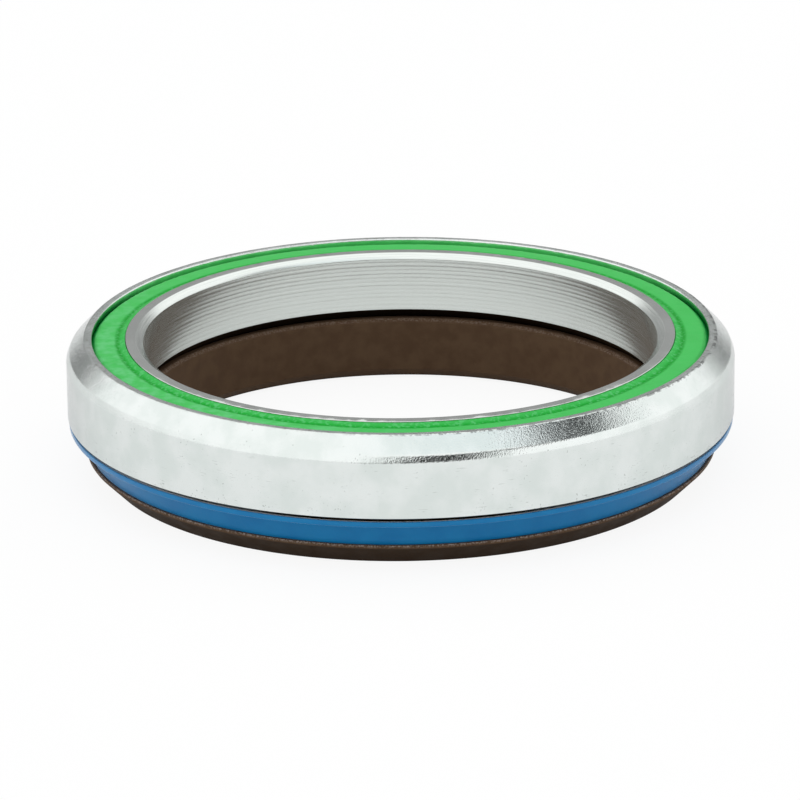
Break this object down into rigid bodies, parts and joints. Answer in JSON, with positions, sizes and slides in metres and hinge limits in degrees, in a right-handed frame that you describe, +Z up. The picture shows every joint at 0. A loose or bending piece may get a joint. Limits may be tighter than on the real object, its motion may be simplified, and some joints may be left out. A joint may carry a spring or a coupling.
{
  "type": "bicycle headset lower bearing with crown race",
  "caption": "Round angular-contact steering bearing with zinc-plated outer ring, green and blue rubber seals and a brown crown race, for the bottom of a bicycle head tube.",
  "frame": {"origin": "on the steering axis, at the underside of the crown race", "axes": "+Z up the steering axis, from the fork crown towards the head tube"},
  "size_m": [0.052, 0.052, 0.0106],
  "materials": {
    "zinc_plated_steel": "bright zinc plating, slightly mottled",
    "bearing_steel": "turned steel",
    "ball_steel": "polished bearing steel",
    "cage_polyamide": "moulded, natural polyamide",
    "green_rubber": "moulded nitrile rubber, satin",
    "blue_rubber": "moulded nitrile rubber, satin",
    "brown_anodised_aluminium": "matte brown hard anodising, worn at the flange edge"
  },
  "bodies": {
    "fork_side": {"crown_race": "brown_anodised_aluminium", "crown_race_seal": "blue_rubber", "inner_ring": "bearing_steel"},
    "head_tube_side": {"outer_ring": "zinc_plated_steel", "upper_bearing_seal": "green_rubber", "lower_bearing_seal": "green_rubber"},
    "ball_set": {"ball_cage": "cage_polyamide", "ball_01": "ball_steel", "ball_02": "ball_steel", "ball_03": "ball_steel", "ball_04": "ball_steel", "ball_05": "ball_steel", "ball_06": "ball_steel", "ball_07": "ball_steel", "ball_08": "ball_steel", "ball_09": "ball_steel", "ball_10": "ball_steel", "ball_11": "ball_steel", "ball_12": "ball_steel", "ball_13": "ball_steel", "ball_14": "ball_steel", "ball_15": "ball_steel", "ball_16": "ball_steel", "ball_17": "ball_steel", "ball_18": "ball_steel", "ball_19": "ball_steel", "ball_20": "ball_steel", "ball_21": "ball_steel", "ball_22": "ball_steel", "ball_23": "ball_steel", "ball_24": "ball_steel", "ball_25": "ball_steel", "ball_26": "ball_steel", "ball_27": "ball_steel", "ball_28": "ball_steel", "ball_29": "ball_steel", "ball_30": "ball_steel"}
  },
  "joints": [
    {"name": "steering_turn", "type": "hinge", "parent": "fork_side", "child": "head_tube_side", "pos_m": [0, 0, 0.0072], "axis": [0, 0, 1], "continuous": true},
    {"name": "ball_set_turn", "type": "hinge", "parent": "fork_side", "child": "ball_set", "pos_m": [0, 0, 0.0072], "axis": [0, 0, 1], "continuous": true}
  ],
  "couplings": [
    {"joint": "ball_set_turn", "follows": "steering_turn", "ratio": 0.5244}
  ]
}
